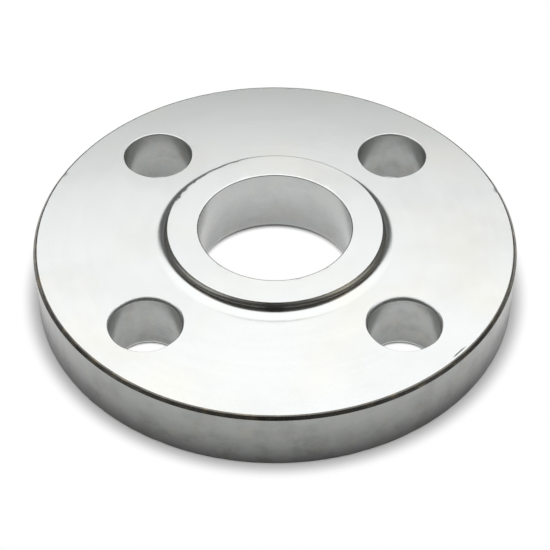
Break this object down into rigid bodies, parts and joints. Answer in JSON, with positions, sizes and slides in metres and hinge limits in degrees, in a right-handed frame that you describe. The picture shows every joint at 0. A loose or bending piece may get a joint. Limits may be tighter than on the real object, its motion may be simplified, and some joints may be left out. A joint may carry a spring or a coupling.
{
  "type": "lap joint flange",
  "caption": "Round steel plate with a short raised hub, a large bore with a rounded lap-side corner and a ring of bolt holes; it slides over a pipe stub and clamps its lap.",
  "frame": {"origin": "centre of the flat lap face, on the bore axis", "axes": "+Z along the bore axis from the lap face towards the hub; the X and Y axes pass midway between bolt holes"},
  "size_m": [0.11, 0.11, 0.0175],
  "materials": {
    "turned_steel": "fine turned stainless steel, satin with a soft sheen; smooth drilled and bored walls"
  },
  "bodies": {
    "root": {"flange": "turned_steel"}
  },
  "joints": []
}
